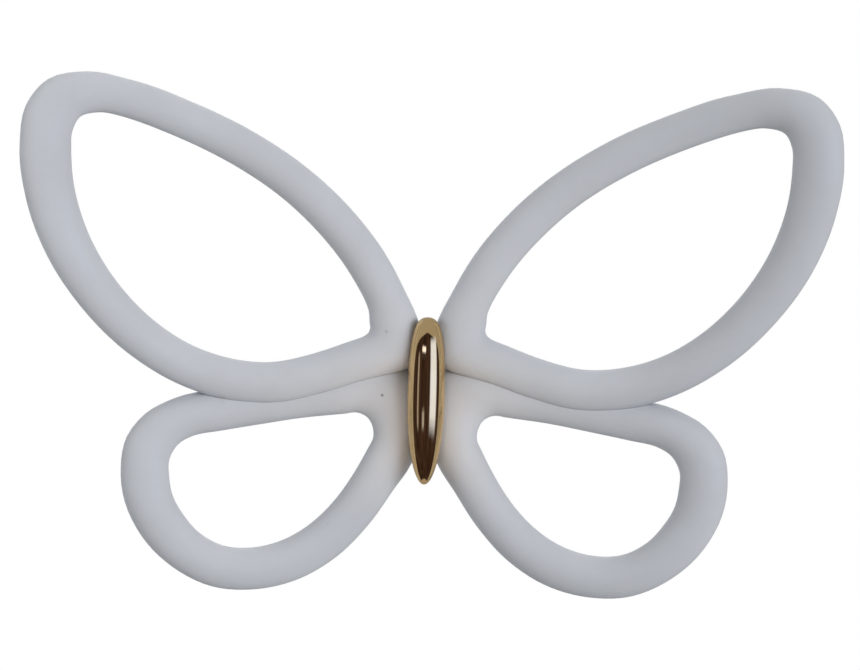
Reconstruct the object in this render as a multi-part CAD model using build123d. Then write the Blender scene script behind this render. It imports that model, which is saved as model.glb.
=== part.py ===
from build123d import *
from OCP.BRepOffsetAPI import BRepOffsetAPI_ThruSections
import math
import os

# Butterfly wall ornament: four cupped ceramic wing loops, a gold body and the steel that hangs them.
# Millimetres. X runs to the right, Z up, the wall is the plane Y = 0 and the front faces -Y.
# The origin is the centre of the keyhole's entry on the rear face of the spine plate.

# Whole ornament
CUP_RADIUS = 220.0
FLAT_HALF = 20.0
CROSS_DROP = 6.0
GLUE_GAP = 0.15
ROOT_GAP = 0.6
OVERRUN = 5.0

# Forewings: size of the loop, its band and its place in front of the wall
FORE_REACH = 101.5
FORE_RISE = 80.0
FORE_BAND = 10.4
FORE_THICKNESS = 9.0
FORE_DEPTH = 8.5
FORE_ROOT_SIDE = 19.5
FORE_ROOT_HEIGHT = 12.5
FORE_ROOT_RADIUS = 17.0
FORE_ROOT_BAND = 12.3
FOOT_DIAMETER = 4.0
FOOT_SIDE = 6.9
FOOT_HEIGHT = 8.0

# Hindwings
HIND_REACH = 75.4
HIND_DROP = 48.2
HIND_BAND = 10.7
HIND_THICKNESS = 9.0
HIND_DEPTH = 5.5
HIND_ROOT_SIDE = 19.0
HIND_ROOT_HEIGHT = -15.5
HIND_ROOT_RADIUS = 17.0
HIND_ROOT_BAND = 11.8

# Gold body and its two rear bosses
BODY_LENGTH = 41.6
BODY_DIAMETER = 9.4
BODY_DEPTH = 12.4
BODY_SEAT_GAP = 0.15
BOSS_DIAMETER = 5.0
BOSS_GAP = 0.25

# Spine plate with its keyhole
PLATE_WIDTH = 18.0
PLATE_THICKNESS = 2.0
PLATE_TOP = 12.2
PLATE_BOTTOM = 20.5
PLATE_CORNER = 3.0
PLATE_GAP = 0.3
KEYHOLE_ENTRY = 8.0
KEYHOLE_SLOT = 4.0
KEYHOLE_RISE = 8.0
NAIL_ROOM = 0.5
NAIL_POCKET = 4.5

# Root gasket
GASKET_THICKNESS = 0.5

# Spine screws, countersunk M3
SCREW_DIAMETER = 3.0
SCREW_LENGTH = 10.0
SCREW_HEAD_DIAMETER = 5.5
SCREW_HEAD_HEIGHT = 1.6
SCREW_SOCKET_ACROSS = 2.0
SCREW_SOCKET_DEPTH = 1.1
SCREW_GAP = 0.1
SCREW_TIP_ROOM = 1.0
SCREW_DROPS = (8.0, 15.5)

# Wall bumpers
BUMPER_DIAMETER = 8.0
BUMPER_EDGE = 0.5
BUMPER_RIB_SHARE = 0.8

# A wing loop is a row of ribs, clockwise from the top of its root to the bottom of its root.
# Each rib: outer edge as shares of reach and rise, the share of the way along the wing's vein
# that it points at, and its width as a share of the band. The vein's root end stays at the
# root's side and height, and the rest stretches away from it.
FORE_VEIN_SHARES = ((0.192, 0.231), (0.787, 0.745))
FORE_RIB_SHARES = (
    (0.055, 0.333, 0.02, 0.99),
    (0.113, 0.463, 0.16, 0.97),
    (0.197, 0.594, 0.29, 0.96),
    (0.308, 0.719, 0.45, 0.94),
    (0.443, 0.827, 0.61, 0.93),
    (0.589, 0.910, 0.80, 0.91),
    (0.734, 0.971, 1.00, 0.90),
    (0.841, 0.993, 1.00, 1.00),
    (0.936, 0.963, 1.00, 1.15),
    (0.985, 0.880, 1.00, 1.21),
    (0.997, 0.763, 1.00, 1.17),
    (0.980, 0.598, 0.89, 1.13),
    (0.927, 0.421, 0.76, 1.08),
    (0.839, 0.258, 0.64, 1.02),
    (0.732, 0.128, 0.53, 0.99),
    (0.611, 0.036, 0.46, 0.98),
    (0.492, -0.011, 0.41, 0.99),
    (0.369, -0.019, 0.36, 0.99),
    (0.259, 0.013, 0.25, 0.98),
    (0.160, 0.055, 0.03, 1.00),
)
HIND_VEIN_SHARES = ((0.252, -0.197), (0.678, -0.475))
HIND_RIB_SHARES = (
    (0.431, 0.114, 0.32, 1.00),
    (0.579, 0.073, 0.64, 1.00),
    (0.711, 0.032, 0.91, 0.99),
    (0.827, -0.015, 1.00, 0.98),
    (0.925, -0.101, 1.00, 1.04),
    (0.983, -0.222, 1.00, 1.11),
    (1.000, -0.384, 1.00, 1.13),
    (0.985, -0.554, 1.00, 1.10),
    (0.926, -0.736, 1.00, 1.07),
    (0.825, -0.890, 0.87, 1.01),
    (0.695, -0.988, 0.84, 0.99),
    (0.553, -1.000, 0.80, 0.98),
    (0.405, -0.940, 0.72, 0.99),
    (0.282, -0.819, 0.63, 0.99),
    (0.179, -0.648, 0.46, 0.98),
    (0.100, -0.466, 0.17, 1.00),
)

# The root fans about the vein's root end, from its top to its bottom: degrees, and the reach of
# its outer edge as a share of the root radius.
FORE_ROOT_FAN_SHARES = (
    (173, 1.00),
    (184, 1.06),
    (196, 1.13),
    (207, 1.15),
    (215, 1.08),
    (222, 1.00),
)
HIND_ROOT_FAN_SHARES = (
    (83, 1.00),
    (100, 1.12),
    (118, 1.28),
    (136, 1.36),
    (152, 1.24),
    (168, 1.10),
    (185, 1.04),
    (202, 1.00),
)

# The body's outline: where it is widest, and how full its top and foot quarters are.
# A quarter ellipse has a fullness of 0.55.
BODY_WIDEST_SHARE = 0.48
BODY_TOP_FULLNESS_SHARE = 0.77
BODY_FOOT_FULLNESS_SHARE = 0.55


def smooth_skin(sections):
    """Smooth open skin through sections that start and turn alike, so none is realigned."""
    builder = BRepOffsetAPI_ThruSections(False, False)
    builder.CheckCompatibility(False)
    for section in sections:
        builder.AddWire(section.wrapped)
    builder.Build()
    return Shell(builder.Shape()).faces()


class Wing:
    """One right-hand wing loop: ribs of oval section round a vein, on a cupped sheet."""

    def __init__(self, reach, rise, band, thickness, depth, vein_shares, rib_shares, root_place, root):
        self.band = band
        self.thickness = thickness
        self.depth = depth
        left = root_place[0] - vein_shares[0][0] * reach
        base = root_place[1] - vein_shares[0][1] * rise
        self.vein = [(left + x * reach, base + z * rise) for x, z in vein_shares]
        self.ribs = [(left + x * reach, base + z * rise, v, b) for x, z, v, b in rib_shares]
        self.root_radius, self.root_band, self.root_fan_shares = root

    def on_sheet(self, x, z):
        """Point of the middle sheet: flat at the root, cupped towards the viewer beyond it."""
        past_flat = max(x - FLAT_HALF, 0)
        cup = CUP_RADIUS - math.sqrt(CUP_RADIUS**2 - past_flat**2)
        return Vector(x, -self.depth - cup, z)

    def rib_edges(self, rib):
        """Outer and inner edge of a rib, on the middle sheet."""
        x, z, vein_share, band_share = rib
        (root_x, root_z), (tip_x, tip_z) = self.vein
        to_x = root_x + vein_share * (tip_x - root_x) - x
        to_z = root_z + vein_share * (tip_z - root_z) - z
        along = self.band * band_share / math.hypot(to_x, to_z)
        return self.on_sheet(x, z), self.on_sheet(x + along * to_x, z + along * to_z)

    def rib_centre(self, rib):
        outer, inner = self.rib_edges(rib)
        return (outer + inner) / 2

    def rib_section(self, rib, grow):
        """Oval across the band, square to the sheet."""
        outer, inner = self.rib_edges(rib)
        centre = (outer + inner) / 2
        past_flat = max(centre.X - FLAT_HALF, 0)
        facing = Vector(-past_flat, -math.sqrt(CUP_RADIUS**2 - past_flat**2), 0)
        return self.oval(outer, inner, facing, grow)

    def root_section(self, angle, reach_share, grow):
        """Oval across the root, which fans about the vein's root end."""
        x, z = self.vein[0]
        along_x = math.cos(math.radians(angle))
        along_z = math.sin(math.radians(angle))
        far = self.root_radius * reach_share
        near = self.root_radius - self.root_band
        outer = Vector(x + far * along_x, -self.depth, z + far * along_z)
        inner = Vector(x + near * along_x, -self.depth, z + near * along_z)
        return self.oval(outer, inner, Vector(0, -1, 0), grow)

    def oval(self, outer, inner, facing, grow):
        across = outer - inner
        plane = Plane(origin=(outer + inner) / 2, x_dir=across, z_dir=across.cross(facing))
        return Wire.make_ellipse(across.length / 2 + grow, self.thickness / 2 + grow, plane)

    def loop(self, grow=0):
        """The whole loop, grown all round by a clearance where it serves as a cutter."""
        fan = [self.root_section(angle, share, grow) for angle, share in self.root_fan_shares]
        ribs = [self.rib_section(rib, grow) for rib in self.ribs]
        skin = smooth_skin([fan[0]] + ribs + [fan[-1]]) + smooth_skin(fan)
        return Solid(Shell(skin))


FORE = Wing(
    FORE_REACH, FORE_RISE, FORE_BAND, FORE_THICKNESS, FORE_DEPTH, FORE_VEIN_SHARES, FORE_RIB_SHARES,
    (FORE_ROOT_SIDE, FORE_ROOT_HEIGHT), (FORE_ROOT_RADIUS, FORE_ROOT_BAND, FORE_ROOT_FAN_SHARES),
)
HIND = Wing(
    HIND_REACH, HIND_DROP, HIND_BAND, HIND_THICKNESS, HIND_DEPTH, HIND_VEIN_SHARES, HIND_RIB_SHARES,
    (HIND_ROOT_SIDE, HIND_ROOT_HEIGHT), (HIND_ROOT_RADIUS, HIND_ROOT_BAND, HIND_ROOT_FAN_SHARES),
)


def rod(diameter, x, z, y_rear, y_front):
    """Round bar along Y between two depths."""
    plane = Plane(origin=(x, y_rear, z), x_dir=(1, 0, 0), z_dir=(0, -1, 0))
    return Solid.make_cylinder(diameter / 2, y_rear - y_front, plane)


def slab(sketch, y_rear, thickness):
    """Sheet cut to a sketch drawn in X and Z, its rear face at y_rear."""
    plane = Plane(origin=(0, y_rear, 0), x_dir=(1, 0, 0), z_dir=(0, -1, 0))
    return extrude(plane * sketch, thickness)


def plate_outline(grow=0):
    """Outline of the spine plate, grown by a clearance where it is cut from a neighbour."""
    height = PLATE_TOP + PLATE_BOTTOM
    middle = (PLATE_TOP - PLATE_BOTTOM) / 2
    return Pos(0, middle) * RectangleRounded(
        PLATE_WIDTH + 2 * grow, height + 2 * grow, PLATE_CORNER + grow
    )


def keyhole_run(width):
    """Upright slot of a given width from the keyhole's entry to its seat."""
    return Pos(0, KEYHOLE_RISE / 2) * Rot(0, 0, 90) * SlotCenterToCenter(KEYHOLE_RISE, width)


def quarter(radius, widest, end, fullness_share):
    """Quarter of the body's outline, from its widest place to one end on the axis."""
    bulge = widest + fullness_share * (end - widest)
    return Bezier((radius, widest), (radius, bulge), (fullness_share * radius, end), (0, end))


def body_spindle(grow=0):
    """Turned spindle of the body, grown by its seat gap where it cuts the trough."""
    radius = BODY_DIAMETER / 2 + grow
    top = -CROSS_DROP + BODY_LENGTH / 2
    foot = top - BODY_LENGTH
    widest = top - BODY_WIDEST_SHARE * BODY_LENGTH
    upper = quarter(radius, widest, top + grow, BODY_TOP_FULLNESS_SHARE)
    lower = quarter(radius, widest, foot - grow, BODY_FOOT_FULLNESS_SHARE)
    core = Line((0, top + grow), (0, foot - grow))
    half = Plane.XZ * make_face([upper, lower, core])
    return Pos(0, -BODY_DEPTH, 0) * revolve(half, Axis.Z)


def make_gold_body():
    body = body_spindle()
    for drop in SCREW_DROPS:
        body += rod(BOSS_DIAMETER, 0, -drop, -PLATE_THICKNESS, -BODY_DEPTH)
    for drop in SCREW_DROPS:
        bore = SCREW_DIAMETER + 2 * SCREW_GAP
        body -= rod(bore, 0, -drop, OVERRUN, -SCREW_LENGTH - SCREW_TIP_ROOM)
    return body


def make_spine_plate():
    outline = plate_outline() - Circle(KEYHOLE_ENTRY / 2) - keyhole_run(KEYHOLE_SLOT)
    plate = slab(outline, 0, PLATE_THICKNESS)
    for drop in SCREW_DROPS:
        plate -= rod(SCREW_DIAMETER + 2 * SCREW_GAP, 0, -drop, OVERRUN, -PLATE_THICKNESS - OVERRUN)
        plate -= screw_head(drop, SCREW_GAP)
    return plate


def make_root_gasket():
    window = keyhole_run(KEYHOLE_ENTRY + 2 * NAIL_ROOM)
    outline = plate_outline() - window
    for drop in SCREW_DROPS:
        outline -= Pos(0, -drop) * Circle(BOSS_DIAMETER / 2 + BOSS_GAP)
    return slab(outline, -PLATE_THICKNESS, GASKET_THICKNESS)


def screw_head(drop, grow):
    """Countersunk head, flush with the plate's rear face."""
    plane = Plane(origin=(0, 0, -drop), x_dir=(1, 0, 0), z_dir=(0, -1, 0))
    wide = SCREW_HEAD_DIAMETER / 2 + grow
    narrow = SCREW_DIAMETER / 2 + grow
    return Solid.make_cone(wide, narrow, SCREW_HEAD_HEIGHT, plane)


def make_screw(drop):
    screw = screw_head(drop, 0) + rod(SCREW_DIAMETER, 0, -drop, -SCREW_HEAD_HEIGHT, -SCREW_LENGTH)
    hexagon = Pos(0, -drop) * RegularPolygon(SCREW_SOCKET_ACROSS / 2, 6, major_radius=False)
    return screw - slab(hexagon, 0, SCREW_SOCKET_DEPTH)


def make_bumper():
    """Soft pad between the wall and the round back of the right hindwing."""
    rib = HIND.ribs[round(BUMPER_RIB_SHARE * (len(HIND.ribs) - 1))]
    seat = HIND.rib_centre(rib)
    pad = rod(BUMPER_DIAMETER, seat.X, seat.Z, 0, seat.Y)
    rear_rim = pad.edges().sort_by(Axis.Y)[-1]
    pad = pad.chamfer(BUMPER_EDGE, None, [rear_rim])
    return pad - HIND.loop(GLUE_GAP)


def wing_cutters():
    """What every wing root makes room for: the body, its bosses and the nail's head."""
    seat_depth = -PLATE_THICKNESS - GASKET_THICKNESS
    cutters = [body_spindle(BODY_SEAT_GAP)]
    for drop in SCREW_DROPS:
        notch = BOSS_DIAMETER + 2 * BOSS_GAP
        cutters.append(rod(notch, 0, -drop, OVERRUN, -BODY_DEPTH))
    pocket = keyhole_run(KEYHOLE_ENTRY + 2 * NAIL_ROOM)
    cutters.append(slab(pocket, seat_depth + OVERRUN, NAIL_POCKET + OVERRUN))
    middle = Rectangle(ROOT_GAP, 2 * BODY_LENGTH, align=(Align.MAX, Align.CENTER))
    cutters.append(slab(Pos(ROOT_GAP / 2) * middle, OVERRUN, 2 * BODY_DEPTH))
    return cutters


def make_right_forewing():
    seat_depth = -PLATE_THICKNESS - GASKET_THICKNESS
    wing = FORE.loop() + rod(FOOT_DIAMETER, FOOT_SIDE, FOOT_HEIGHT, seat_depth, -FORE_DEPTH)
    for cutter in wing_cutters():
        wing -= cutter
    return wing


def make_right_hindwing():
    seat_depth = -PLATE_THICKNESS - GASKET_THICKNESS
    wing = HIND.loop() - FORE.loop(GLUE_GAP)
    wing -= slab(plate_outline(PLATE_GAP), seat_depth + OVERRUN, OVERRUN)
    for cutter in wing_cutters():
        wing -= cutter
    return wing


def across(shape):
    """The same piece on the left side."""
    return mirror(shape, Plane.YZ)


right_forewing = make_right_forewing()
right_hindwing = make_right_hindwing()
bumper = make_bumper()
nodes = {
    "right_forewing": right_forewing,
    "left_forewing": across(right_forewing),
    "right_hindwing": right_hindwing,
    "left_hindwing": across(right_hindwing),
    "gold_body": make_gold_body(),
    "spine_plate": make_spine_plate(),
    "root_gasket": make_root_gasket(),
    "spine_screws": Compound([make_screw(drop) for drop in SCREW_DROPS]),
    "wall_bumpers": Compound([bumper, across(bumper)]),
}

os.makedirs("parts", exist_ok=True)
for name, shape in nodes.items():
    export_step(shape, f"parts/{name}.step")
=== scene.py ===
"""Looks of the butterfly wall ornament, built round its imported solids."""

import logging
import math
from collections.abc import Callable, Sequence
from dataclasses import dataclass
from enum import Enum

import bmesh
import bpy
import numpy as np
from mathutils import Matrix, Vector


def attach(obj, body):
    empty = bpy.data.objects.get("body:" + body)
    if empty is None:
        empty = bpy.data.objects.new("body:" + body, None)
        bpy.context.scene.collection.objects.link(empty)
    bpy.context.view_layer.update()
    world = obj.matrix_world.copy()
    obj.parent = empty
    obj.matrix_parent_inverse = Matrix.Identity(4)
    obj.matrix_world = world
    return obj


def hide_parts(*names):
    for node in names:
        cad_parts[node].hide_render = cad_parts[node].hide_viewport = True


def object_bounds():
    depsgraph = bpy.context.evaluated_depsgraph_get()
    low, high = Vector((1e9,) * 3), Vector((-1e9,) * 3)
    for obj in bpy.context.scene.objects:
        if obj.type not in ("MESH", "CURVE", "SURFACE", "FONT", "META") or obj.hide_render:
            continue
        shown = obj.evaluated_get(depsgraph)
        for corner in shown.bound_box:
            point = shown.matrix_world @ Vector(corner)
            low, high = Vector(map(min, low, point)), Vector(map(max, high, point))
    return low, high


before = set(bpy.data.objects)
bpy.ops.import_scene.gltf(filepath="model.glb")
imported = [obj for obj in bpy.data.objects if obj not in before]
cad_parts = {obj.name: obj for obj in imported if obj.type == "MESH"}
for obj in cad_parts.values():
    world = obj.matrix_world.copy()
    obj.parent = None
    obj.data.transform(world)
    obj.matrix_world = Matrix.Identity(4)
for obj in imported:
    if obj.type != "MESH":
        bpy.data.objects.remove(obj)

LOG = logging.getLogger("butterfly")
CAD_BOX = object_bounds()
ONLY_BODY = "root"
MM = 0.001
WELD_REACH = 0.001 * MM
ROD_SIDES = 48

MOTTLE_DETAIL = 4.0
MOTTLE_ROUGHNESS = 0.55
PIT_RARITY = 0.80
PIT_EDGE = 0.05
LINE_DETAIL = 3.0
LINE_ROUGHNESS = 0.6
LINE_LIMITS = (0.35, 0.65)

Point = tuple[float, float, float]
Colour = tuple[float, float, float, float]
WHITE: Colour = (1.0, 1.0, 1.0, 1.0)
BLACK: Colour = (0.0, 0.0, 0.0, 1.0)


class Side(Enum):
    """Which half of the butterfly a wing belongs to."""

    RIGHT = "right"
    LEFT = "left"


class Carve(Enum):
    """How a tool piece changes the piece that it is set against."""

    CUT = "DIFFERENCE"
    ADD = "UNION"


class Slot(Enum):
    """Material slots of the record."""

    CERAMIC = "white_ceramic"
    GOLD = "polished_gold"


def take_up(piece: bpy.types.Object) -> None:
    """Make one piece the only selected one and the active one.

    Args:
        piece: the object to work on next.
    """
    bpy.ops.object.select_all(action="DESELECT")
    piece.select_set(True)
    bpy.context.view_layer.objects.active = piece


def start_empty_mesh(name: str) -> bpy.types.Object:
    """Start a piece with no geometry, open in edit mode at the origin.

    Args:
        name: name of the new piece.

    Returns:
        The new object, active and in edit mode.
    """
    bpy.ops.object.select_all(action="DESELECT")
    bpy.ops.mesh.primitive_plane_add(size=MM, location=(0.0, 0.0, 0.0))
    piece = bpy.context.active_object
    piece.name = name
    piece.data.name = name
    bpy.ops.object.mode_set(mode="EDIT")
    bpy.ops.mesh.select_all(action="SELECT")
    bpy.ops.mesh.delete(type="VERT")
    return piece


def pick_vertices(piece: bpy.types.Object, wanted: Callable[[bmesh.types.BMVert], bool]) -> None:
    """Select, in edit mode, the vertices that pass a test and nothing else.

    Args:
        piece: the object in edit mode.
        wanted: the test for one vertex.
    """
    bpy.ops.mesh.select_all(action="DESELECT")
    work = bmesh.from_edit_mesh(piece.data)
    for vertex in work.verts:
        vertex.select = wanted(vertex)
    work.select_flush(True)
    bmesh.update_edit_mesh(piece.data)


def face_outwards() -> None:
    """Turn all faces of the piece in edit mode outwards."""
    bpy.ops.mesh.select_all(action="SELECT")
    bpy.ops.mesh.normals_make_consistent(inside=False)


def carve(piece: bpy.types.Object, tool: bpy.types.Object, how: Carve) -> None:
    """Cut a tool piece from a piece or add it, and remove the tool.

    Args:
        piece: the object that stays.
        tool: the object that is used up.
        how: cut or add.
    """
    change = piece.modifiers.new("carve", "BOOLEAN")
    change.operation = how.value
    change.solver = "EXACT"
    change.object = tool
    take_up(piece)
    bpy.ops.object.modifier_apply(modifier=change.name)
    mesh = tool.data
    bpy.data.objects.remove(tool)
    bpy.data.meshes.remove(mesh)


def weld(piece: bpy.types.Object) -> None:
    """Merge the points that a cut leaves in the same place.

    Args:
        piece: the piece to clean.
    """
    take_up(piece)
    bpy.ops.object.mode_set(mode="EDIT")
    bpy.ops.mesh.select_all(action="SELECT")
    bpy.ops.mesh.remove_doubles(threshold=WELD_REACH)
    bpy.ops.mesh.dissolve_degenerate(threshold=WELD_REACH)
    bpy.ops.object.mode_set(mode="OBJECT")


def rod(diameter: float, x: float, z: float, y_rear: float, y_front: float) -> bpy.types.Object:
    """Make a round bar along Y between two depths.

    Args:
        diameter: across the bar.
        x: sideways place of its axis.
        z: height of its axis.
        y_rear: depth of its rear end.
        y_front: depth of its front end.

    Returns:
        The bar, with its place in its mesh.
    """
    bpy.ops.object.select_all(action="DESELECT")
    bpy.ops.mesh.primitive_cylinder_add(
        vertices=ROD_SIDES,
        radius=diameter / 2,
        depth=y_rear - y_front,
        location=(x, (y_rear + y_front) / 2, z),
        rotation=(math.pi / 2, 0.0, 0.0),
    )
    bar = bpy.context.active_object
    bpy.ops.object.transform_apply(location=True, rotation=True, scale=True)
    return bar


def block(low: Point, high: Point) -> bpy.types.Object:
    """Make a block between two corners.

    Args:
        low: its lowest corner.
        high: its highest corner.

    Returns:
        The block, with its place in its mesh.
    """
    bpy.ops.object.select_all(action="DESELECT")
    middle = [(a + b) / 2 for a, b in zip(low, high)]
    size = [b - a for a, b in zip(low, high)]
    bpy.ops.mesh.primitive_cube_add(size=1.0, location=middle, scale=size)
    made = bpy.context.active_object
    bpy.ops.object.transform_apply(location=True, rotation=True, scale=True)
    return made


def fit(piece: bpy.types.Object, node: str, finish: bpy.types.Material) -> None:
    """Dress a finished piece and let it stand for its solid.

    Args:
        piece: the finished mesh.
        node: the solid that it replaces.
        finish: its material.
    """
    piece.data.materials.clear()
    piece.data.materials.append(finish)
    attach(piece, ONLY_BODY)
    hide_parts(node)
    LOG.info("%s: %d faces, stands for %s", piece.name, len(piece.data.polygons), node)


class Bench:
    """Lays out one node tree."""

    def __init__(self, tree: bpy.types.NodeTree) -> None:
        """Clear the tree and keep it."""
        self.tree = tree
        tree.nodes.clear()

    def add(self, kind: str, **values: object) -> bpy.types.Node:
        """Add a node.

        Args:
            kind: the node's type name.
            values: node properties, or input values for names that the node has no property for.

        Returns:
            The new node.
        """
        node = self.tree.nodes.new(kind)
        for key, value in values.items():
            if hasattr(node, key):
                setattr(node, key, value)
            else:
                node.inputs[key.replace("_", " ")].default_value = value
        return node

    def join(self, source: bpy.types.NodeSocket, target: bpy.types.NodeSocket) -> None:
        """Link an output to an input."""
        self.tree.links.new(source, target)

    def maths(self, operation: str, first: object, second: object) -> bpy.types.NodeSocket:
        """Add a Math node.

        Args:
            operation: what it does.
            first: a socket or a number.
            second: a socket or a number.

        Returns:
            Its output.
        """
        node = self.tree.nodes.new("ShaderNodeMath")
        node.operation = operation
        for socket, value in zip(node.inputs, (first, second)):
            if isinstance(value, bpy.types.NodeSocket):
                self.join(value, socket)
            else:
                socket.default_value = value
        return node.outputs[0]

    def seen(self) -> bpy.types.NodeSocket:
        """Mask of what the camera, metal and glass see.

        Returns:
            The mask, nought for the light that falls on the ornament.
        """
        rays = self.add("ShaderNodeLightPath").outputs
        direct = self.maths("MAXIMUM", rays["Is Camera Ray"], rays["Is Glossy Ray"])
        return self.maths("MAXIMUM", direct, rays["Is Transmission Ray"])

    def range(self, value: bpy.types.NodeSocket, start: float, end: float,
              low: float, high: float) -> bpy.types.NodeSocket:
        """Map a value smoothly from one range to another.

        Args:
            value: the socket to map.
            start: value that gives low.
            end: value that gives high.
            low: result at start.
            high: result at end.

        Returns:
            The mapped socket.
        """
        node = self.add("ShaderNodeMapRange", interpolation_type="SMOOTHSTEP")
        for name, number in (("From Min", start), ("From Max", end), ("To Min", low), ("To Max", high)):
            node.inputs[name].default_value = number
        self.join(value, node.inputs["Value"])
        return node.outputs["Result"]

    def blend(self, share: bpy.types.NodeSocket, first: object, second: object) -> bpy.types.NodeSocket:
        """Mix two colours.

        Args:
            share: how much of the second shows.
            first: a colour socket or a colour.
            second: a colour socket or a colour.

        Returns:
            The mixed colour.
        """
        node = self.tree.nodes.new("ShaderNodeMix")
        node.data_type = "RGBA"
        self.join(share, node.inputs["Factor"])
        colours = [socket for socket in node.inputs if socket.type == "RGBA"]
        for socket, value in zip(colours, (first, second)):
            if isinstance(value, bpy.types.NodeSocket):
                self.join(value, socket)
            else:
                socket.default_value = value
        return next(socket for socket in node.outputs if socket.type == "RGBA")


class Effect(Enum):
    """Surface effects that several finishes share, each one node group."""

    MOTTLE = "mottle"
    PITS = "pits"
    DRAWN_LINES = "drawn_lines"


@dataclass(frozen=True)
class Pattern:
    """A shared effect as one finish uses it: its scale per metre and its spread."""

    effect: Effect
    scale: float
    spread: float


def build_mottle(bench: Bench, into: bpy.types.Node) -> bpy.types.NodeSocket:
    """Soft clouds; Spread is their half contrast about the middle.

    Args:
        bench: the group's bench.
        into: the group's inputs.

    Returns:
        The mask.
    """
    clouds = bench.add("ShaderNodeTexNoise", Detail=MOTTLE_DETAIL, Roughness=MOTTLE_ROUGHNESS)
    bench.join(into.outputs["Vector"], clouds.inputs["Vector"])
    bench.join(into.outputs["Scale"], clouds.inputs["Scale"])
    node = bench.add("ShaderNodeMapRange", interpolation_type="SMOOTHSTEP")
    bench.join(clouds.outputs["Fac"], node.inputs["Value"])
    bench.join(bench.maths("SUBTRACT", 0.5, into.outputs["Spread"]), node.inputs["From Min"])
    bench.join(bench.maths("ADD", 0.5, into.outputs["Spread"]), node.inputs["From Max"])
    return node.outputs["Result"]


def build_pits(bench: Bench, into: bpy.types.Node) -> bpy.types.NodeSocket:
    """Sparse round spots; Spread is their size as a share of the cell.

    Args:
        bench: the group's bench.
        into: the group's inputs.

    Returns:
        The mask.
    """
    cells = bench.add("ShaderNodeTexVoronoi", feature="F1", Randomness=1.0)
    bench.join(into.outputs["Vector"], cells.inputs["Vector"])
    bench.join(into.outputs["Scale"], cells.inputs["Scale"])
    chance = bench.add("ShaderNodeSeparateColor")
    bench.join(cells.outputs["Color"], chance.inputs["Color"])
    few = bench.range(chance.outputs["Red"], PIT_RARITY, 1.0, 0.0, 1.0)
    reach = bench.maths("MULTIPLY", few, into.outputs["Spread"])
    inside = bench.maths("SUBTRACT", reach, cells.outputs["Distance"])
    return bench.range(inside, 0.0, PIT_EDGE, 0.0, 1.0)


def build_drawn_lines(bench: Bench, into: bpy.types.Node) -> bpy.types.NodeSocket:
    """Fine lines along Z; Spread is how far a line runs in its own widths.

    Args:
        bench: the group's bench.
        into: the group's inputs.

    Returns:
        The mask.
    """
    split = bench.add("ShaderNodeSeparateXYZ")
    bench.join(into.outputs["Vector"], split.inputs["Vector"])
    pack = bench.add("ShaderNodeCombineXYZ")
    bench.join(split.outputs["X"], pack.inputs["X"])
    bench.join(split.outputs["Y"], pack.inputs["Y"])
    bench.join(bench.maths("DIVIDE", split.outputs["Z"], into.outputs["Spread"]), pack.inputs["Z"])
    lines = bench.add("ShaderNodeTexNoise", Detail=LINE_DETAIL, Roughness=LINE_ROUGHNESS)
    bench.join(pack.outputs["Vector"], lines.inputs["Vector"])
    bench.join(into.outputs["Scale"], lines.inputs["Scale"])
    return bench.range(lines.outputs["Fac"], *LINE_LIMITS, 0.0, 1.0)


EFFECT_BUILDERS = {
    Effect.MOTTLE: build_mottle,
    Effect.PITS: build_pits,
    Effect.DRAWN_LINES: build_drawn_lines,
}


def effect_group(effect: Effect) -> bpy.types.NodeTree:
    """Give the node group of an effect, built the first time it is asked for.

    Args:
        effect: which effect.

    Returns:
        The node group, with inputs Vector, Scale and Spread and the output Mask.
    """
    made = bpy.data.node_groups.get(effect.value)
    if made is not None:
        return made
    tree = bpy.data.node_groups.new(effect.value, "ShaderNodeTree")
    bench = Bench(tree)
    tree.interface.new_socket("Vector", in_out="INPUT", socket_type="NodeSocketVector")
    for name in ("Scale", "Spread"):
        tree.interface.new_socket(name, in_out="INPUT", socket_type="NodeSocketFloat")
    tree.interface.new_socket("Mask", in_out="OUTPUT", socket_type="NodeSocketFloat")
    into = bench.add("NodeGroupInput")
    out = bench.add("NodeGroupOutput")
    bench.join(EFFECT_BUILDERS[effect](bench, into), out.inputs["Mask"])
    return tree


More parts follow.
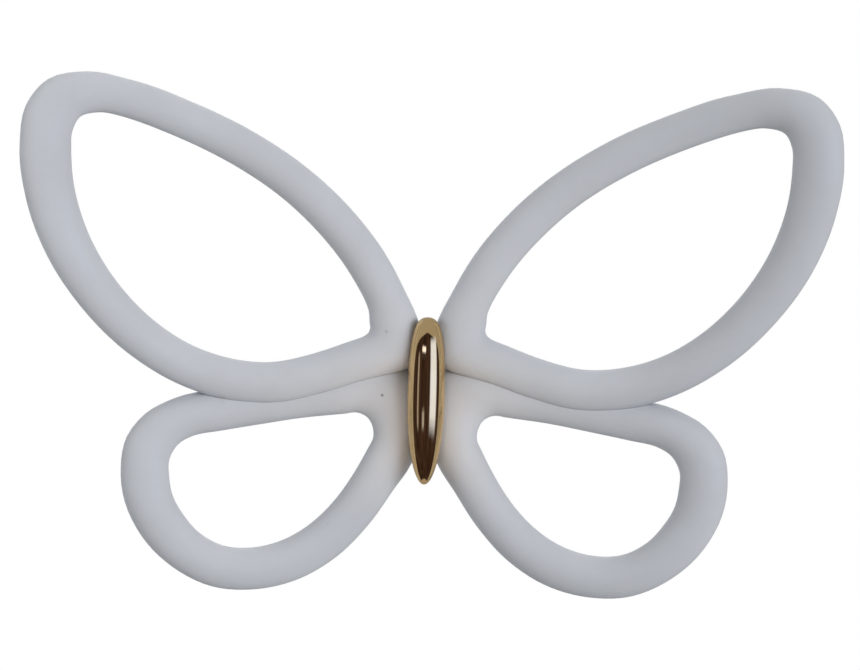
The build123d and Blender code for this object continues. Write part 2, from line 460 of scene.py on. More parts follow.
class FinishBench(Bench):
    """Bench of one material: Object coordinates, one shader and the shared effects."""

    def __init__(self, name: str) -> None:
        """Start the material with its shader and coordinates.

        Args:
            name: the material's name.
        """
        self.material = bpy.data.materials.new(name)
        self.material.use_nodes = True
        super().__init__(self.material.node_tree)
        self.shader = self.add("ShaderNodeBsdfPrincipled")
        out = self.add("ShaderNodeOutputMaterial")
        self.join(self.shader.outputs["BSDF"], out.inputs["Surface"])
        self.place = self.add("ShaderNodeTexCoord").outputs["Object"]

    def set(self, **values: object) -> None:
        """Set plain values on the shader's own sockets."""
        for key, value in values.items():
            self.shader.inputs[key.replace("_", " ")].default_value = value

    def feed(self, name: str, source: bpy.types.NodeSocket) -> None:
        """Link an output to one of the shader's inputs."""
        self.join(source, self.shader.inputs[name])

    def effect(self, pattern: Pattern) -> bpy.types.NodeSocket:
        """Place a shared effect.

        Args:
            pattern: which effect, and how large.

        Returns:
            Its mask.
        """
        node = self.tree.nodes.new("ShaderNodeGroup")
        node.node_tree = effect_group(pattern.effect)
        self.join(self.place, node.inputs["Vector"])
        node.inputs["Scale"].default_value = pattern.scale
        node.inputs["Spread"].default_value = pattern.spread
        return node.outputs["Mask"]

    def spot(self, centre: Point, radius: float) -> bpy.types.NodeSocket:
        """Mask of a round mark at one place.

        Args:
            centre: the mark's centre.
            radius: its radius.

        Returns:
            The mask, one at the centre.
        """
        far = self.add("ShaderNodeVectorMath", operation="DISTANCE")
        self.join(self.place, far.inputs[0])
        far.inputs[1].default_value = centre
        return self.range(far.outputs["Value"], 0.0, radius, 1.0, 0.0)

    def relief(self, height: bpy.types.NodeSocket, depth: float) -> None:
        """Raise the surface by a height mask.

        Args:
            height: the mask.
            depth: height of a full mask, in metres.
        """
        bump = self.add("ShaderNodeBump", Strength=1.0, Distance=depth)
        self.join(height, bump.inputs["Height"])
        self.feed("Normal", bump.outputs["Normal"])


@dataclass(frozen=True)
class MatteGlaze:
    """Matte white glaze over cast ceramic."""

    body: Colour = (0.610, 0.635, 0.680, 1.0)
    thin: Colour = (0.575, 0.595, 0.635, 1.0)
    pit: Colour = (0.20, 0.18, 0.17, 1.0)
    # painted shade: grey of the seam shadow spots below the left forewing's lower edge
    seam_shade_colour: Colour = (0.46, 0.45, 0.45, 1.0)
    roughness: tuple[float, float] = (0.46, 0.60)
    clouds: Pattern = Pattern(Effect.MOTTLE, 45.0, 0.22)
    specks: Pattern = Pattern(Effect.PITS, 210.0, 0.10)
    peel: Pattern = Pattern(Effect.MOTTLE, 420.0, 0.35)
    grain: Pattern = Pattern(Effect.MOTTLE, 3200.0, 0.30)
    # painted shade: how strongly the seam shadow spots darken the glaze
    seam_shade_share: float = 0.5
    speck_share: float = 0.25
    grain_share: float = 0.25
    hole_depth: float = 6.0
    relief: float = 0.012 * MM
    pinholes: tuple[tuple[Point, float, float], ...] = (
        ((-0.01095, -0.0100, -0.0049), 0.0006, 1.0),
        ((-0.0103, -0.0128, 0.0110), 0.0007, 0.4),
    )
    # painted shade: centres and radii of seam shadow spots on the left hindwing, just under the forewing's
    # lower edge
    seam_shade_spots: tuple[tuple[Point, float], ...] = (
        ((-0.0506, -0.0125, -0.0065), 0.0016),
        ((-0.0546, -0.0130, -0.0065), 0.0012),
    )

    def material(self) -> bpy.types.Material:
        """Build the finish.

        Returns:
            The material.
        """
        bench = FinishBench("matte_white_glaze")
        clouds = bench.effect(self.clouds)
        colour = bench.blend(clouds, self.body, self.thin)
        # painted shade: grey spots where the forewing's lower edge shades the left hindwing at the seam
        for centre, radius in self.seam_shade_spots:
            mark = bench.maths("MULTIPLY", bench.spot(centre, radius), self.seam_shade_share)
            colour = bench.blend(mark, colour, self.seam_shade_colour)
        holes = bench.maths("MULTIPLY", bench.effect(self.specks), self.speck_share)
        for centre, radius, depth in self.pinholes:
            hole = bench.maths("MULTIPLY", bench.spot(centre, radius), depth)
            holes = bench.maths("MAXIMUM", holes, hole)
        bench.feed("Base Color", bench.blend(holes, colour, self.pit))
        bench.feed("Roughness", bench.range(clouds, 0.0, 1.0, *self.roughness))
        grain = bench.maths("MULTIPLY", bench.effect(self.grain), self.grain_share)
        height = bench.maths("ADD", bench.effect(self.peel), grain)
        sunk = bench.maths("MULTIPLY", holes, self.hole_depth)
        bench.relief(bench.maths("SUBTRACT", height, sunk), self.relief)
        return bench.material


@dataclass(frozen=True)
class MirrorGold:
    """Polished gold plating."""

    bright: Colour = (0.80, 0.58, 0.29, 1.0)
    warm: Colour = (0.76, 0.53, 0.25, 1.0)
    roughness: tuple[float, float] = (0.035, 0.07)
    clouds: Pattern = Pattern(Effect.MOTTLE, 160.0, 0.25)
    lines: Pattern = Pattern(Effect.DRAWN_LINES, 5200.0, 14.0)
    relief: float = 0.006 * MM

    def material(self) -> bpy.types.Material:
        """Build the finish.

        Returns:
            The material.
        """
        bench = FinishBench("mirror_gold")
        clouds = bench.effect(self.clouds)
        bench.set(Metallic=1.0)
        bench.feed("Base Color", bench.blend(clouds, self.bright, self.warm))
        bench.feed("Roughness", bench.range(bench.effect(self.lines), 0.0, 1.0, *self.roughness))
        bench.relief(clouds, self.relief)
        return bench.material


@dataclass(frozen=True)
class BrushedSteel:
    """Brushed or turned stainless steel."""

    name: str
    light: Colour
    dark: Colour
    roughness: tuple[float, float]
    lines: Pattern
    smears: Pattern = Pattern(Effect.MOTTLE, 120.0, 0.2)
    nicks: Pattern = Pattern(Effect.PITS, 500.0, 0.12)
    nick_share: float = 0.6
    smear_share: float = 0.6
    relief: float = 0.006 * MM

    def material(self) -> bpy.types.Material:
        """Build the finish.

        Returns:
            The material.
        """
        bench = FinishBench(self.name)
        lines, nicks = bench.effect(self.lines), bench.effect(self.nicks)
        bench.set(Metallic=1.0)
        shade = bench.blend(lines, self.light, self.dark)
        nicked = bench.maths("MULTIPLY", nicks, self.nick_share)
        bench.feed("Base Color", bench.blend(nicked, shade, self.dark))
        smears = bench.maths("MULTIPLY", bench.effect(self.smears), self.smear_share)
        wear = bench.maths("MAXIMUM", smears, lines)
        bench.feed("Roughness", bench.range(wear, 0.0, 1.0, *self.roughness))
        bench.relief(bench.maths("SUBTRACT", lines, nicks), self.relief)
        return bench.material


@dataclass(frozen=True)
class PressedFelt:
    """Thin pressed felt between the steel and the ceramic."""

    light: Colour = (0.16, 0.16, 0.17, 1.0)
    dark: Colour = (0.06, 0.06, 0.065, 1.0)
    roughness: float = 0.95
    sheen: float = 0.3
    fibres: Pattern = Pattern(Effect.DRAWN_LINES, 3800.0, 5.0)
    tufts: Pattern = Pattern(Effect.MOTTLE, 900.0, 0.2)
    relief: float = 0.08 * MM

    def material(self) -> bpy.types.Material:
        """Build the finish.

        Returns:
            The material.
        """
        bench = FinishBench("pressed_felt")
        tufts = bench.effect(self.tufts)
        bench.set(Roughness=self.roughness, Sheen_Weight=self.sheen)
        matted = bench.maths("MULTIPLY", bench.effect(self.fibres), tufts)
        bench.feed("Base Color", bench.blend(matted, self.dark, self.light))
        bench.relief(bench.maths("ADD", matted, tufts), self.relief)
        return bench.material


@dataclass(frozen=True)
class CastSilicone:
    """Milky silicone of the wall bumpers."""

    clear: Colour = (0.62, 0.63, 0.62, 1.0)
    dusty: Colour = (0.45, 0.44, 0.42, 1.0)
    roughness: tuple[float, float] = (0.32, 0.5)
    haze: Pattern = Pattern(Effect.MOTTLE, 300.0, 0.2)
    dust: Pattern = Pattern(Effect.PITS, 900.0, 0.2)
    haze_share: float = 0.4
    dust_share: float = 0.7
    milkiness: float = 0.2
    milk_depth: float = 2.0 * MM
    relief: float = 0.01 * MM

    def material(self) -> bpy.types.Material:
        """Build the finish.

        Returns:
            The material.
        """
        bench = FinishBench("cast_silicone")
        haze, dust = bench.effect(self.haze), bench.effect(self.dust)
        bench.set(Subsurface_Weight=self.milkiness, Subsurface_Scale=self.milk_depth)
        tone = bench.blend(bench.maths("MULTIPLY", haze, self.haze_share), self.clear, self.dusty)
        dusted = bench.maths("MULTIPLY", dust, self.dust_share)
        bench.feed("Base Color", bench.blend(dusted, tone, self.dusty))
        bench.feed("Roughness", bench.range(haze, 0.0, 1.0, *self.roughness))
        bench.relief(bench.maths("ADD", haze, dust), self.relief)
        return bench.material


@dataclass(frozen=True)
class Sheet:
    """The middle sheet that the wings lie on: flat at the root, cupped beyond it."""

    flat_half: float = 20.0 * MM
    cup_radius: float = 220.0 * MM

    def past_flat(self, x: float) -> float:
        """How far a place is beyond the flat part."""
        return max(x - self.flat_half, 0.0)

    def depth_of_cup(self, x: float) -> float:
        """How far the sheet comes forward at a place."""
        return self.cup_radius - math.sqrt(self.cup_radius**2 - self.past_flat(x) ** 2)

    def facing(self, x: float) -> Vector:
        """Direction that the sheet faces at a place."""
        past = self.past_flat(x)
        return Vector((-past, -math.sqrt(self.cup_radius**2 - past**2), 0.0)).normalized()


@dataclass
class WingLoop:
    """One wing: a loop of oval section, ribs round a vein and a fan at its root."""

    name: str
    reach: float
    rise: float
    band: float
    thickness: float
    depth: float
    root_side: float
    root_height: float
    root_radius: float
    root_band: float
    vein_shares: tuple[tuple[float, float], tuple[float, float]]
    rib_shares: tuple[tuple[float, float, float, float], ...]
    root_fan_shares: tuple[tuple[float, float, float], ...]
    sheet: Sheet = Sheet()
    station_gap: float = 1.8 * MM
    oval_points: int = 48

    def place(self, x_share: float, z_share: float) -> np.ndarray:
        """Plan place of a point given as shares of reach and rise."""
        (root_x, root_z), _ = self.vein_shares
        return np.array((self.root_side + (x_share - root_x) * self.reach,
                         self.root_height + (z_share - root_z) * self.rise))

    def rows(self) -> list[np.ndarray]:
        """Outer and inner edge of every rib and fan row, once round the loop.

        Returns:
            Rows of outer x, outer z, inner x and inner z.
        """
        root, tip = (self.place(*shares) for shares in self.vein_shares)
        found = []
        for x_share, z_share, vein_share, band_share in self.rib_shares:
            outer = self.place(x_share, z_share)
            towards = root + vein_share * (tip - root) - outer
            inner = outer + towards * (self.band * band_share / np.linalg.norm(towards))
            found.append(np.concatenate((outer, inner)))
        for angle, reach_share, inner_share in reversed(self.root_fan_shares):
            along = np.array((math.cos(math.radians(angle)), math.sin(math.radians(angle))))
            outer = root + along * self.root_radius * reach_share
            inner = root + along * (self.root_radius - self.root_band) * inner_share
            found.append(np.concatenate((outer, inner)))
        return found

    def stations(self) -> list[np.ndarray]:
        """Rows set close together on a smooth closed line through the ribs.

        Returns:
            The rows, in order round the loop.
        """
        rows = self.rows()
        count = len(rows)
        nexts = rows[1:] + rows[:1]
        gaps = [float(np.linalg.norm(on - here)) / math.sqrt(2) for here, on in zip(rows, nexts)]
        slopes = []
        for i in range(count):
            before, after = gaps[i - 1], gaps[i]
            back = (rows[i] - rows[i - 1]) / before
            on = (nexts[i] - rows[i]) / after
            slopes.append((back * after + on * before) / (before + after))
        found = []
        for i in range(count):
            start, end, gap = rows[i], nexts[i], gaps[i]
            steps = max(1, round(gap / self.station_gap))
            for step in range(steps):
                t = step / steps
                found.append(start * (2 * t**3 - 3 * t**2 + 1) + end * (3 * t**2 - 2 * t**3)
                             + gap * slopes[i] * (t**3 - 2 * t**2 + t)
                             + gap * slopes[(i + 1) % count] * (t**3 - t**2))
        return found

    def on_sheet(self, x: float, z: float) -> Vector:
        """Point of the wing's own middle sheet."""
        return Vector((x, -self.depth - self.sheet.depth_of_cup(x), z))

    def add_oval(self, station: np.ndarray, grow: float) -> None:
        """Add the oval of one station to the mesh in edit mode.

        Args:
            station: outer x, outer z, inner x and inner z.
            grow: how much larger the oval is all round.
        """
        outer = self.on_sheet(station[0], station[1])
        inner = self.on_sheet(station[2], station[3])
        centre = (outer + inner) / 2
        across = outer - inner
        facing = self.sheet.facing(centre.x)
        along = across.normalized()
        facing = (facing - along * facing.dot(along)).normalized()
        turn = Matrix((along, facing, along.cross(facing))).transposed()
        half_band, half_thickness = across.length / 2 + grow, self.thickness / 2 + grow
        bpy.ops.mesh.primitive_circle_add(
            vertices=self.oval_points,
            radius=half_thickness,
            fill_type="NOTHING",
            location=centre,
            rotation=turn.to_euler(),
        )
        bpy.ops.transform.resize(
            value=(half_band / half_thickness, 1.0, 1.0),
            orient_matrix=turn,
            orient_matrix_type="GLOBAL",
            center_override=centre,
        )

    def loop(self, name: str, grow: float = 0.0) -> bpy.types.Object:
        """Make the whole right-hand loop.

        Args:
            name: name of the new piece.
            grow: how much larger it is all round.

        Returns:
            A closed, smooth loop.
        """
        piece = start_empty_mesh(name)
        stations = self.stations()
        for station in stations:
            self.add_oval(station, grow)
        for ring in range(len(stations)):
            self.pick_ovals(piece, (ring, (ring + 1) % len(stations)))
            bpy.ops.mesh.bridge_edge_loops()
        face_outwards()
        bpy.ops.object.mode_set(mode="OBJECT")
        return piece

    def pick_ovals(self, piece: bpy.types.Object, rings: Sequence[int]) -> None:
        """Select, in edit mode, the vertices of some ovals and nothing else.

        Args:
            piece: the loop in edit mode.
            rings: the ovals' numbers.
        """
        bpy.ops.mesh.select_all(action="DESELECT")
        work = bmesh.from_edit_mesh(piece.data)
        work.verts.ensure_lookup_table()
        for ring in rings:
            for vertex in work.verts[ring * self.oval_points:(ring + 1) * self.oval_points]:
                vertex.select = True
        work.select_flush(True)
        bmesh.update_edit_mesh(piece.data)


FOREWING = WingLoop(
    name="forewing",
    reach=101.5 * MM, rise=80.0 * MM, band=10.4 * MM, thickness=9.0 * MM, depth=8.5 * MM,
    root_side=19.5 * MM, root_height=12.5 * MM, root_radius=17.0 * MM, root_band=12.3 * MM,
    vein_shares=((0.192, 0.231), (0.787, 0.745)),
    rib_shares=(
        (0.055, 0.333, 0.02, 0.99),
        (0.113, 0.463, 0.16, 0.97),
        (0.197, 0.594, 0.29, 0.96),
        (0.308, 0.719, 0.45, 0.94),
        (0.443, 0.827, 0.61, 0.93),
        (0.589, 0.910, 0.80, 0.91),
        (0.734, 0.971, 1.00, 0.90),
        (0.841, 0.993, 1.00, 1.00),
        (0.936, 0.963, 1.00, 1.15),
        (0.985, 0.880, 1.00, 1.21),
        (0.997, 0.763, 1.00, 1.17),
        (0.980, 0.598, 0.89, 1.13),
        (0.927, 0.421, 0.76, 1.08),
        (0.839, 0.258, 0.64, 1.02),
        (0.732, 0.128, 0.53, 0.99),
        (0.611, 0.036, 0.46, 0.98),
        (0.492, -0.011, 0.41, 0.99),
        (0.369, -0.019, 0.36, 0.99),
        (0.259, 0.013, 0.25, 0.98),
        (0.160, 0.055, 0.03, 1.00),
    ),
    root_fan_shares=((173, 1.00, 1.06), (184, 1.06, 1.10), (196, 1.13, 1.10),
                     (207, 1.15, 1.05), (215, 1.08, 0.99), (222, 1.00, 0.94)),
)
HINDWING = WingLoop(
    name="hindwing",
    reach=75.4 * MM, rise=48.2 * MM, band=10.7 * MM, thickness=9.0 * MM, depth=5.5 * MM,
    root_side=19.0 * MM, root_height=-15.5 * MM, root_radius=17.0 * MM, root_band=11.8 * MM,
    vein_shares=((0.252, -0.197), (0.678, -0.475)),
    rib_shares=(
        (0.431, 0.114, 0.32, 1.00),
        (0.579, 0.073, 0.64, 1.00),
        (0.711, 0.032, 0.91, 0.99),
        (0.827, -0.015, 1.00, 0.98),
        (0.925, -0.101, 1.00, 1.04),
        (0.983, -0.222, 1.00, 1.11),
        (1.000, -0.384, 1.00, 1.13),
        (0.985, -0.554, 1.00, 1.10),
        (0.926, -0.736, 1.00, 1.07),
        (0.825, -0.890, 0.87, 1.01),
        (0.695, -0.988, 0.84, 0.99),
        (0.553, -1.000, 0.80, 0.98),
        (0.405, -0.940, 0.72, 0.99),
        (0.282, -0.819, 0.63, 0.99),
        (0.179, -0.648, 0.46, 0.98),
        (0.100, -0.466, 0.17, 1.00),
    ),
    root_fan_shares=((83, 1.00, 1.12), (100, 1.12, 1.19), (118, 1.28, 1.25), (136, 1.36, 1.27),
                     (152, 1.24, 1.23), (168, 1.10, 1.19), (185, 1.04, 1.14), (202, 1.00, 1.06)),
)


@dataclass
class GoldBody:
    """The turned gold spindle in front of the wing roots, with its two rear bosses."""

    length: float = 41.6 * MM
    diameter: float = 9.4 * MM
    depth: float = 12.4 * MM
    cross_drop: float = 6.0 * MM
    widest_share: float = 0.48
    top_fullness: float = 0.77
    foot_fullness: float = 0.55
    boss_diameter: float = 5.0 * MM
    boss_rear: float = -2.0 * MM
    bore_diameter: float = 3.2 * MM
    bore_depth: float = 11.0 * MM
    boss_heights: tuple[float, float] = (-8.0 * MM, -15.5 * MM)
    bore_start: float = 1.0 * MM
    quarter_steps: int = 26
    turns: int = 96
    smooth_angle: float = math.radians(35.0)

    def quarter(self, radius: float, widest: float, end: float,
                fullness: float) -> list[tuple[float, float]]:
        """Points of a quarter of the outline, from the widest place to the end on the axis.

        Args:
            radius: half the diameter.
            widest: height of the widest place.
            end: height of the end.
            fullness: how full the quarter is; 0.55 is an ellipse.

        Returns:
            Pairs of radius and height.
        """
        bulge = widest + fullness * (end - widest)
        handles = ((radius, widest), (radius, bulge), (fullness * radius, end), (0.0, end))
        found = []
        for step in range(self.quarter_steps + 1):
            t = step / self.quarter_steps
            weights = ((1 - t) ** 3, 3 * t * (1 - t) ** 2, 3 * t**2 * (1 - t), t**3)
            found.append(tuple(sum(w * h[axis] for w, h in zip(weights, handles)) for axis in (0, 1)))
        return found

    def spindle(self, name: str, grow: float = 0.0) -> bpy.types.Object:
        """Turn the spindle from its outline.

        Args:
            name: name of the new piece.
            grow: how much larger it is all round.

        Returns:
            A closed spindle.
        """
        radius = self.diameter / 2 + grow
        top = -self.cross_drop + self.length / 2
        widest = top - self.widest_share * self.length
        upper = self.quarter(radius, widest, top + grow, self.top_fullness)
        lower = self.quarter(radius, widest, top - self.length - grow, self.foot_fullness)
        outline = upper[::-1] + lower[1:]
        piece = start_empty_mesh(name)
        bpy.ops.mesh.primitive_plane_add(size=MM, location=(outline[0][0], -self.depth, outline[0][1]))
        bpy.ops.mesh.merge(type="CENTER")
        for here, there in zip(outline, outline[1:]):
            step = (there[0] - here[0], 0.0, there[1] - here[1])
            bpy.ops.mesh.extrude_region_move(TRANSFORM_OT_translate={"value": step})
        bpy.ops.mesh.select_all(action="SELECT")
        bpy.ops.mesh.spin(
            steps=self.turns,
            angle=2 * math.pi,
            center=(0.0, -self.depth, 0.0),
            axis=(0.0, 0.0, 1.0),
        )
        bpy.ops.mesh.select_all(action="SELECT")
        bpy.ops.mesh.remove_doubles(threshold=WELD_REACH)
        face_outwards()
        bpy.ops.object.mode_set(mode="OBJECT")
        return piece

    def build(self, finish: bpy.types.Material) -> None:
        """Make the body with its bosses and dress it.

        Args:
            finish: its material.
        """
        piece = self.spindle("gold_spindle")
        for height in self.boss_heights:
            boss = rod(self.boss_diameter, 0.0, height, self.boss_rear, -self.depth)
            carve(piece, boss, Carve.ADD)
        for height in self.boss_heights:
            bore = rod(self.bore_diameter, 0.0, height, self.bore_start, -self.bore_depth)
            carve(piece, bore, Carve.CUT)
        weld(piece)
        bpy.ops.object.shade_smooth_by_angle(angle=self.smooth_angle)
        fit(piece, "gold_body", finish)


@dataclass
class WingSet:
    """The four ceramic wings and the room that they leave for what is between them."""

    fore: WingLoop
    hind: WingLoop
    body: GoldBody
    glue_gap: float = 0.06 * MM
    seat_gap: float = 0.05 * MM
    middle_half: float = 0.3 * MM
    boss_gap: float = 0.25 * MM
    seat_depth: float = -2.5 * MM
    foot_diameter: float = 4.0 * MM
    foot_side: float = 6.9 * MM
    foot_height: float = 8.0 * MM
    plate_half: float = 9.3 * MM
    plate_low: float = -20.8 * MM
    plate_high: float = 12.5 * MM
    nail_diameter: float = 9.0 * MM
    nail_rise: float = 8.0 * MM
    nail_depth: float = -7.0 * MM
    nail_middle: float = 0.01 * MM
    overrun: float = 5.0 * MM
    tall: float = 60.0 * MM
    smooth_angle: float = math.radians(40.0)

    def nail_pocket(self) -> bpy.types.Object:
        """Make the upright room for a nail's head behind the roots.

        Returns:
            The tool piece.
        """
        room = rod(self.nail_diameter, 0.0, 0.0, self.seat_depth + self.overrun, self.nail_depth)
        take_up(room)
        bpy.ops.object.mode_set(mode="EDIT")
        pick_vertices(room, lambda vertex: vertex.co.z > self.nail_middle)
        bpy.ops.transform.translate(value=(0.0, 0.0, self.nail_rise))
        bpy.ops.object.mode_set(mode="OBJECT")
        return room

    def clear_root(self, piece: bpy.types.Object) -> None:
        """Cut the room for the body, its bosses and the nail from a wing's root.

        Args:
            piece: a right-hand wing.
        """
        carve(piece, self.body.spindle("trough", self.seat_gap), Carve.CUT)
        for height in self.body.boss_heights:
            notch = self.body.boss_diameter + 2 * self.boss_gap
            carve(piece, rod(notch, 0.0, height, self.overrun, -self.body.depth), Carve.CUT)
        carve(piece, self.nail_pocket(), Carve.CUT)
        far_half = block((-self.tall, -self.tall, -self.tall), (self.middle_half, self.tall, self.tall))
        carve(piece, far_half, Carve.CUT)

    def right_forewing(self) -> bpy.types.Object:
        """Make the right forewing with the foot that it stands on.

        Returns:
            The wing.
        """
        piece = self.fore.loop("right_forewing_loop")
        foot = rod(self.foot_diameter, self.foot_side, self.foot_height, self.seat_depth, -self.fore.depth)
        carve(piece, foot, Carve.ADD)
        self.clear_root(piece)
        return piece

    def right_hindwing(self) -> bpy.types.Object:
        """Make the right hindwing, lapped under the forewing.

        Returns:
            The wing.
        """
        piece = self.hind.loop("right_hindwing_loop")
        carve(piece, self.fore.loop("lap", self.glue_gap), Carve.CUT)
        recess = block((-self.plate_half, self.seat_depth, self.plate_low),
                       (self.plate_half, self.overrun, self.plate_high))
        carve(piece, recess, Carve.CUT)
        self.clear_root(piece)
        return piece

    def left_copy(self, piece: bpy.types.Object, name: str) -> bpy.types.Object:
        """Make the mirrored copy of a right-hand wing.

        Args:
            piece: the right-hand wing.
            name: name of the copy.

        Returns:
            The left-hand wing.
        """
        take_up(piece)
        bpy.ops.object.duplicate()
        copy = bpy.context.active_object
        copy.name = name
        copy.data.name = name
        copy.scale.x = -1.0
        bpy.ops.object.transform_apply(location=True, rotation=True, scale=True)
        bpy.ops.object.mode_set(mode="EDIT")
        face_outwards()
        bpy.ops.object.mode_set(mode="OBJECT")
        return copy

    def build(self, finish: bpy.types.Material) -> None:
        """Make the four wings and dress them.

        Args:
            finish: their material.
        """
        for wing, right in ((self.fore, self.right_forewing()), (self.hind, self.right_hindwing())):
            wings = {Side.RIGHT: right, Side.LEFT: self.left_copy(right, f"left_{wing.name}_loop")}
            for side, piece in wings.items():
                take_up(piece)
                bpy.ops.object.shade_smooth_by_angle(angle=self.smooth_angle)
                fit(piece, f"{side.value}_{wing.name}", finish)


@dataclass
class RearHardware:
    """The steel plate, felt, screws and bumpers behind the roots, which keep their solids' shape."""

    plate: BrushedSteel = BrushedSteel(
        name="brushed_plate",
        light=(0.60, 0.61, 0.62, 1.0),
        dark=(0.42, 0.43, 0.44, 1.0),
        roughness=(0.24, 0.42),
        lines=Pattern(Effect.DRAWN_LINES, 2600.0, 30.0),
    )
    screw: BrushedSteel = BrushedSteel(
        name="turned_screw",
        light=(0.52, 0.52, 0.52, 1.0),
        dark=(0.30, 0.30, 0.31, 1.0),
        roughness=(0.18, 0.36),
        lines=Pattern(Effect.DRAWN_LINES, 4200.0, 30.0),
    )
    felt: PressedFelt = PressedFelt()
    silicone: CastSilicone = CastSilicone()

    def dress(self) -> None:
        """Give each carried-over solid its finish."""
        finishes = {
            "spine_plate": self.plate.material(),
            "spine_screws": self.screw.material(),
            "root_gasket": self.felt.material(),
            "wall_bumpers": self.silicone.material(),
        }
        for node, finish in finishes.items():
            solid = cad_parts[node]
            if not solid.material_slots:
                solid.data.materials.append(finish)
            for held in solid.material_slots:
                held.material = finish
            LOG.info("%s: dressed in %s", node, finish.name)


@dataclass(frozen=True)
class Softbox:
    """One soft lamp aimed at the ornament, hidden from metal and camera: degrees, metres, watts."""

    name: str
    azimuth: float
    elevation: float
    distance: float
    width: float
    height: float
    watts: float
    colour: tuple[float, float, float] = (1.0, 1.0, 1.0)

    def place(self, centre: Vector) -> None:
        """Set the lamp up.

        Args:
            centre: the point that it is aimed at.
        """
        lamp = bpy.data.lights.new(self.name, "AREA")
        lamp.shape = "RECTANGLE"
        lamp.size, lamp.size_y = self.width, self.height
        lamp.energy = self.watts
        lamp.color = self.colour
        turn, rise = math.radians(self.azimuth), math.radians(self.elevation)
        away = Vector((math.sin(turn) * math.cos(rise), -math.cos(turn) * math.cos(rise), math.sin(rise)))
        holder = bpy.data.objects.new(self.name, lamp)
        holder.location = centre + away * self.distance
        holder.rotation_euler = away.to_track_quat("Z", "Y").to_euler()
        holder.visible_glossy = False
        holder.visible_camera = False
        bpy.context.scene.collection.objects.link(holder)


@dataclass(frozen=True)
class Patch:
    """A pale place in the mirrored room: where it is and how far it reaches, in degrees."""

    azimuth: float
    elevation: float
    half_width: float
    half_height: float
    soft: float
    colour: Colour


@dataclass
class MirroredRoom:
    """The room that only polished metal sees: pale walls, a dark front and what shines in it."""

    radius: float = 3.6
    wall: Colour = (0.42, 0.42, 0.43, 1.0)
    dark: Colour = (0.028, 0.017, 0.018, 1.0)
    haze: Colour = (0.070, 0.046, 0.044, 1.0)
    side: float = 85.0
    top: float = 30.0
    foot: float = -60.0
    soft: float = 2.0
    gloom: Pattern = Pattern(Effect.MOTTLE, 1.1, 0.2)
    segments: int = 48
    rings: int = 24
    patches: tuple[Patch, ...] = (
        Patch(44.0, 4.0, 20.0, 14.0, 5.0, (1.00, 1.28, 2.30, 1.0)),
        Patch(-51.0, -1.0, 5.0, 9.0, 2.0, (0.42, 0.42, 0.55, 1.0)),
        Patch(-20.0, 11.0, 12.0, 1.6, 0.8, (1.40, 1.60, 2.40, 1.0)),
        Patch(-16.0, -8.0, 7.0, 3.0, 1.5, (0.45, 0.50, 0.70, 1.0)),
    )

    def within(self, bench: Bench, value: bpy.types.NodeSocket, middle: float, half: float,
               soft: float) -> bpy.types.NodeSocket:
        """Mask of the values near a middle.

        Args:
            bench: the material's bench.
            value: what is tested.
            middle: the middle.
            half: how far off it the mask is half.
            soft: half width of the mask's edge.

        Returns:
            The mask.
        """
        off = bench.maths("ABSOLUTE", bench.maths("SUBTRACT", value, middle), 0.0)
        return bench.range(off, half - soft, half + soft, 1.0, 0.0)

    def material(self) -> bpy.types.Material:
        """Build the glow of walls, dark front and patches.

        Returns:
            The material.
        """
        bench = FinishBench("mirrored_room")
        split = bench.add("ShaderNodeSeparateXYZ")
        bench.join(bench.place, split.inputs["Vector"])
        ahead = bench.maths("MULTIPLY", split.outputs["Y"], -1.0)
        azimuth = bench.maths("DEGREES", bench.maths("ARCTAN2", split.outputs["X"], ahead), 0.0)
        rise = bench.maths("DIVIDE", split.outputs["Z"], self.radius)
        elevation = bench.maths("DEGREES", bench.maths("ARCSINE", rise, 0.0), 0.0)
        arch = bench.maths("DIVIDE", bench.maths("MAXIMUM", elevation, 0.0), self.top)
        narrowing = bench.maths("SUBTRACT", 1.0, bench.maths("MULTIPLY", arch, arch))
        limit = bench.maths("MULTIPLY", narrowing, self.side)
        inside = bench.maths("SUBTRACT", limit, bench.maths("ABSOLUTE", azimuth, 0.0))
        under_arch = bench.range(inside, -self.soft, self.soft, 0.0, 1.0)
        above_foot = bench.range(elevation, self.foot - self.soft, self.foot + self.soft, 0.0, 1.0)
        front = bench.maths("MULTIPLY", under_arch, above_foot)
        gloom = bench.blend(bench.effect(self.gloom), self.dark, self.haze)
        colour = bench.blend(front, self.wall, gloom)
        for patch in self.patches:
            across = self.within(bench, azimuth, patch.azimuth, patch.half_width, patch.soft)
            upright = self.within(bench, elevation, patch.elevation, patch.half_height, patch.soft)
            colour = bench.blend(bench.maths("MULTIPLY", across, upright), colour, patch.colour)
        bench.set(Base_Color=BLACK, Roughness=1.0, Specular_IOR_Level=0.0, Emission_Strength=1.0)
        bench.feed("Emission Color", colour)
        return bench.material

    def build(self, centre: Vector) -> None:
        """Set the room round the ornament.

        Args:
            centre: its middle.
        """
        bpy.ops.object.select_all(action="DESELECT")
        bpy.ops.mesh.primitive_uv_sphere_add(
            segments=self.segments,
            ring_count=self.rings,
            radius=self.radius,
            location=centre,
        )
        room = bpy.context.active_object
        room.name = "mirrored_room"
        room.data.materials.append(self.material())
        room.visible_camera = False
        room.visible_diffuse = False
        room.visible_shadow = False
        room.visible_transmission = False


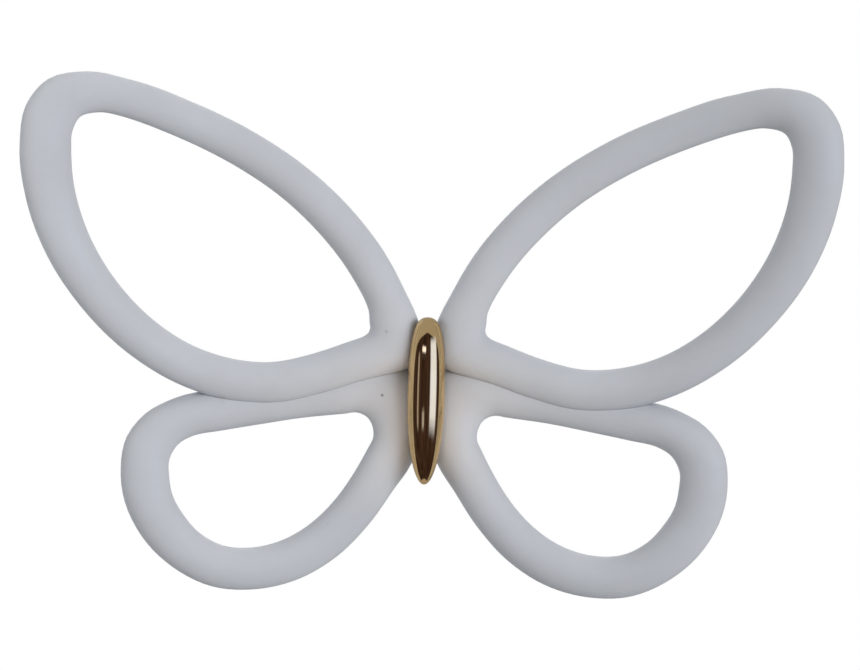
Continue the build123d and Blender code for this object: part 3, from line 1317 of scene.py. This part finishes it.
@dataclass
class Studio:
    """Plain floor, soft lamps, white surround and the camera at the photograph's angle."""

    centre: Vector
    ambient: float = 0.12
    floor_height: float = -0.200
    floor_radius: float = 0.55
    floor_sides: int = 96
    floor_roughness: float = 0.9
    floor_colour: Colour = (0.60, 0.60, 0.60, 1.0)
    floor_glow: float = 0.45
    camera_place: Point = (0.0006, -1.009, 0.0104)
    camera_roll: float = math.radians(1.39)
    camera_lens: float = 167.9
    camera_sensor: float = 36.0
    softboxes: tuple[Softbox, ...] = (
        Softbox("right_window", 46.0, 6.0, 3.00, 2.00, 1.30, 62.0),
        Softbox("left_lamp", -60.0, 8.0, 0.40, 0.20, 0.20, 0.37),
        Softbox("top_left", -60.0, 60.0, 0.90, 0.60, 0.60, 2.0),
        Softbox("top_back", 180.0, 60.0, 0.90, 0.80, 0.80, 3.2),
        Softbox("rear_fill", 170.0, 30.0, 1.60, 0.60, 0.60, 5.0),
        Softbox("root_glow", 0.0, -55.0, 0.036, 0.012, 0.012, 0.0022, (1.0, 0.70, 0.42)),
    )

    def set_view_settings(self) -> None:
        """Use the plain view transform."""
        bpy.context.scene.view_settings.view_transform = "Standard"

    def build_world(self) -> None:
        """Give even light, and white to what the camera, metal and glass see."""
        world = bpy.data.worlds.new("white_surround")
        bpy.context.scene.world = world
        world.use_nodes = True
        bench = Bench(world.node_tree)
        light = bench.add("ShaderNodeBackground", Color=WHITE, Strength=self.ambient)
        white = bench.add("ShaderNodeBackground", Color=WHITE, Strength=1.0)
        mixed = bench.add("ShaderNodeMixShader")
        bench.join(bench.seen(), mixed.inputs[0])
        bench.join(light.outputs[0], mixed.inputs[1])
        bench.join(white.outputs[0], mixed.inputs[2])
        bench.join(mixed.outputs[0], bench.add("ShaderNodeOutputWorld").inputs["Surface"])

    def build_floor(self) -> None:
        """Lay the pale floor below the ornament."""
        bpy.ops.object.select_all(action="DESELECT")
        bpy.ops.mesh.primitive_circle_add(
            vertices=self.floor_sides,
            radius=self.floor_radius,
            fill_type="NGON",
            location=(0.0, 0.0, self.floor_height),
        )
        floor = bpy.context.active_object
        floor.name = "floor"
        bench = FinishBench("pale_floor")
        bench.set(Base_Color=self.floor_colour, Roughness=self.floor_roughness, Emission_Color=WHITE)
        bench.feed("Emission Strength", bench.maths("MULTIPLY", bench.seen(), self.floor_glow))
        floor.data.materials.append(bench.material)
        floor.visible_glossy = False

    def build_camera(self) -> None:
        """Set the camera where the photograph was taken from."""
        data = bpy.data.cameras.new("camera")
        data.lens = self.camera_lens
        data.sensor_width = self.camera_sensor
        camera = bpy.data.objects.new("camera", data)
        camera.location = self.camera_place
        camera.rotation_euler = (math.pi / 2, -self.camera_roll, 0.0)
        bpy.context.scene.collection.objects.link(camera)
        bpy.context.scene.camera = camera

    def build(self) -> None:
        """Set up everything round the ornament."""
        self.set_view_settings()
        self.build_world()
        self.build_floor()
        MirroredRoom().build(self.centre)
        for softbox in self.softboxes:
            softbox.place(self.centre)
        self.build_camera()
        LOG.info("studio: %d lamps", len(self.softboxes))


def main() -> None:
    """Build the pieces in order, then what is round them."""
    logging.basicConfig(level=logging.INFO, format="%(name)s: %(message)s")
    body = GoldBody()
    WingSet(FOREWING, HINDWING, body).build(MatteGlaze().material())
    body.build(MirrorGold().material())
    RearHardware().dress()
    Studio(centre=(CAD_BOX[0] + CAD_BOX[1]) / 2).build()


if __name__ == "__main__":
    main()
